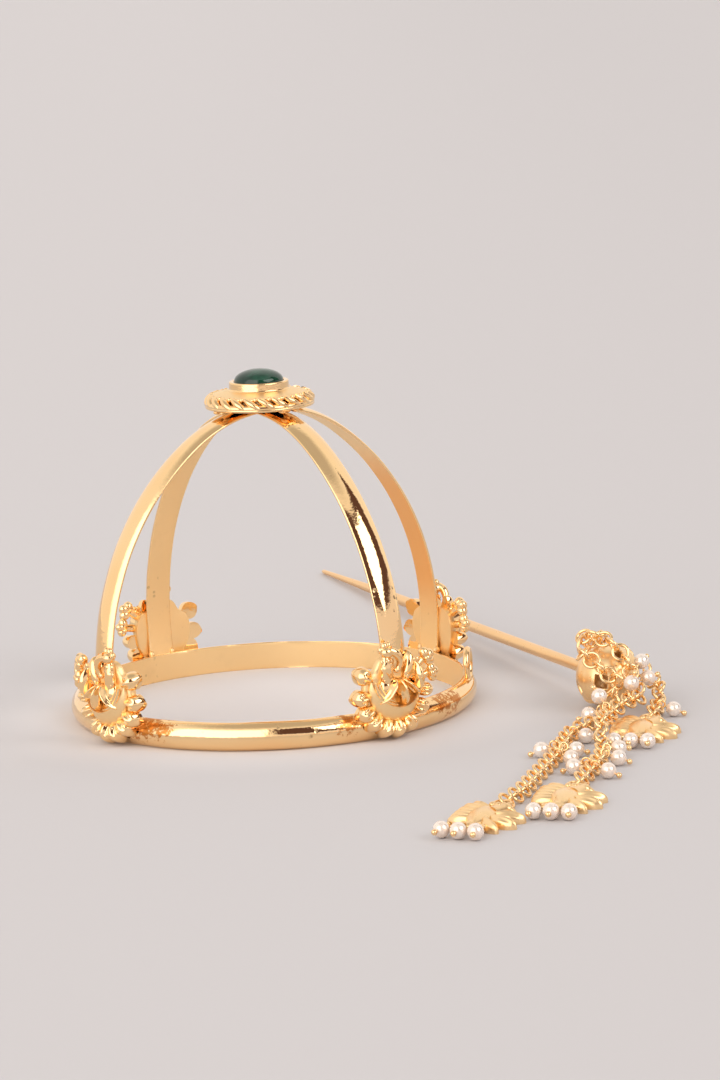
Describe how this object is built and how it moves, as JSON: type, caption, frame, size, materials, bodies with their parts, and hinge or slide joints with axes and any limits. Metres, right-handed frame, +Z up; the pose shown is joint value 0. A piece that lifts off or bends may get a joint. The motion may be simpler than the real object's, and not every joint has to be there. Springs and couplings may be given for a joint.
{
  "type": "hair bun cage with a tasselled hair stick",
  "caption": "Domed metal cage that sits over a hair bun, with the pointed stick that pins it through its two eyes and ends in a ball with a tassel of chains, charms and pearls",
  "frame": {"origin": "centre of the base ring, on the surface that the ring stands on", "axes": "+Z up through the boss and stone; +X through the ring's two eyes, on the side where the ball lies; the arches run at 45 degrees"},
  "size_m": [0.1221, 0.2523, 0.0675],
  "materials": {
    "gold": "bright yellow gold plating on cast and drawn brass",
    "gold_satin": "satin old-gold plating, a little worn",
    "green_stone": "polished dark green glass cabochon",
    "pearl": "pearl lustre, white with a warm sheen"
  },
  "bodies": {
    "root": {"cage": "gold", "cabochon": "green_stone", "hair_stick": "gold_satin", "chain_a": "gold", "charm_a": "gold", "pins_a": "gold", "chain_b": "gold", "charm_b": "gold", "pins_b": "gold", "chain_c": "gold", "charm_c": "gold", "pins_c": "gold", "pearl_1": "pearl", "pearl_2": "pearl", "pearl_3": "pearl", "pearl_4": "pearl", "pearl_5": "pearl", "pearl_6": "pearl", "pearl_7": "pearl", "pearl_8": "pearl", "pearl_9": "pearl", "pearl_10": "pearl", "pearl_11": "pearl", "pearl_12": "pearl", "pearl_13": "pearl", "pearl_14": "pearl", "charm_pearl_a_1": "pearl", "charm_pearl_a_2": "pearl", "charm_pearl_a_3": "pearl", "charm_pearl_b_1": "pearl", "charm_pearl_b_2": "pearl", "charm_pearl_b_3": "pearl", "charm_pearl_c_1": "pearl", "charm_pearl_c_2": "pearl", "charm_pearl_c_3": "pearl"}
  },
  "joints": []
}
